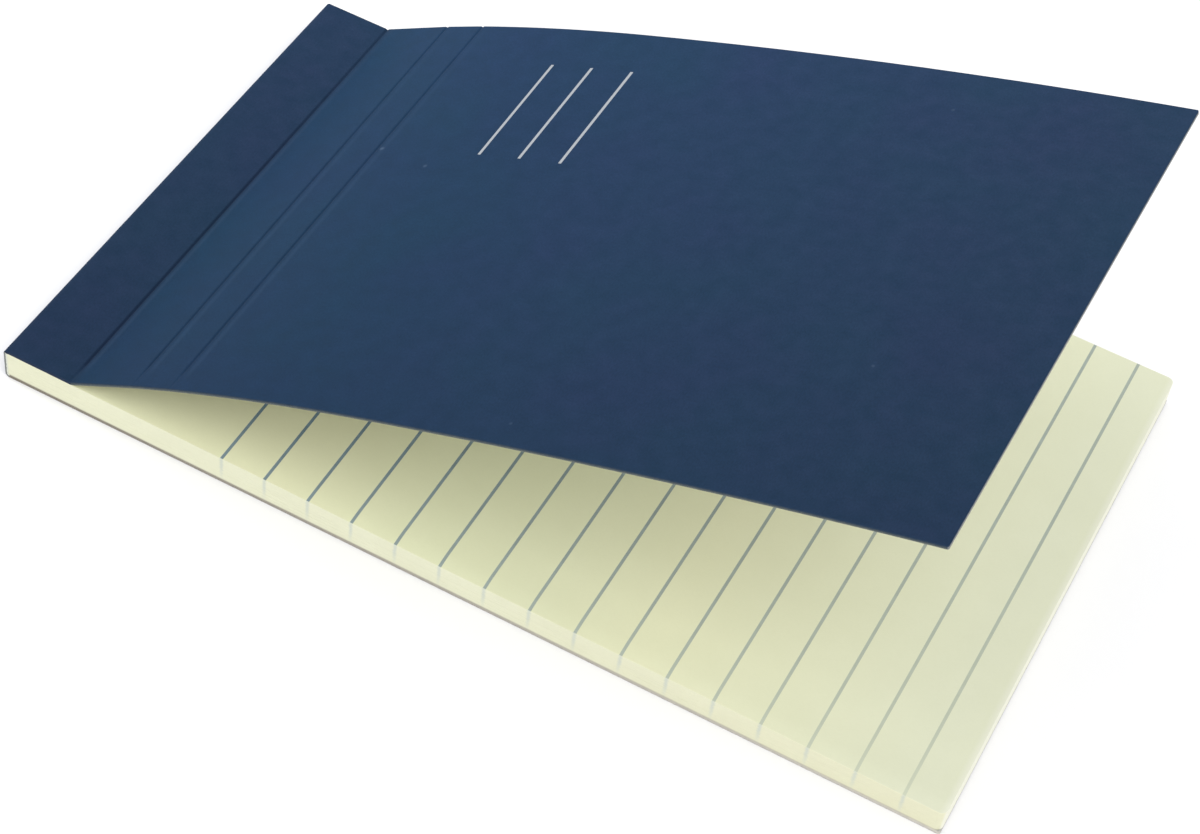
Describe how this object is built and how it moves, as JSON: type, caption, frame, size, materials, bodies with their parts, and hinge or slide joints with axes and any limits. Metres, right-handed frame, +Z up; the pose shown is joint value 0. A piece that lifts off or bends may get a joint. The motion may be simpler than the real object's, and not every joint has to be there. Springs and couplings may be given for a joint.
{
  "type": "sticky note pad",
  "caption": "Block of ruled sticky notes bound along a short edge in a scored card cover that folds round the edge and lifts from a crease as a hinged front leaf.",
  "frame": {"origin": "centre of the underside of the back cover", "axes": "+X along the pad from the bound edge to the free edge, +Y across it, +Z up from the surface that it lies on"},
  "size_m": [0.1274, 0.0762, 0.0477],
  "materials": {
    "cover_card": "matt dyed card",
    "note_paper": "uncoated paper"
  },
  "bodies": {
    "pad": {"cover_wrap": "cover_card", "note_sheets": "note_paper"},
    "leaf": {"front_cover": "cover_card"}
  },
  "joints": [
    {"name": "cover_crease", "type": "hinge", "parent": "pad", "child": "leaf", "pos_m": [-0.05395, 0, 0.0049], "axis": [0, -1, 0], "range_deg": [-21.4, 150]}
  ]
}
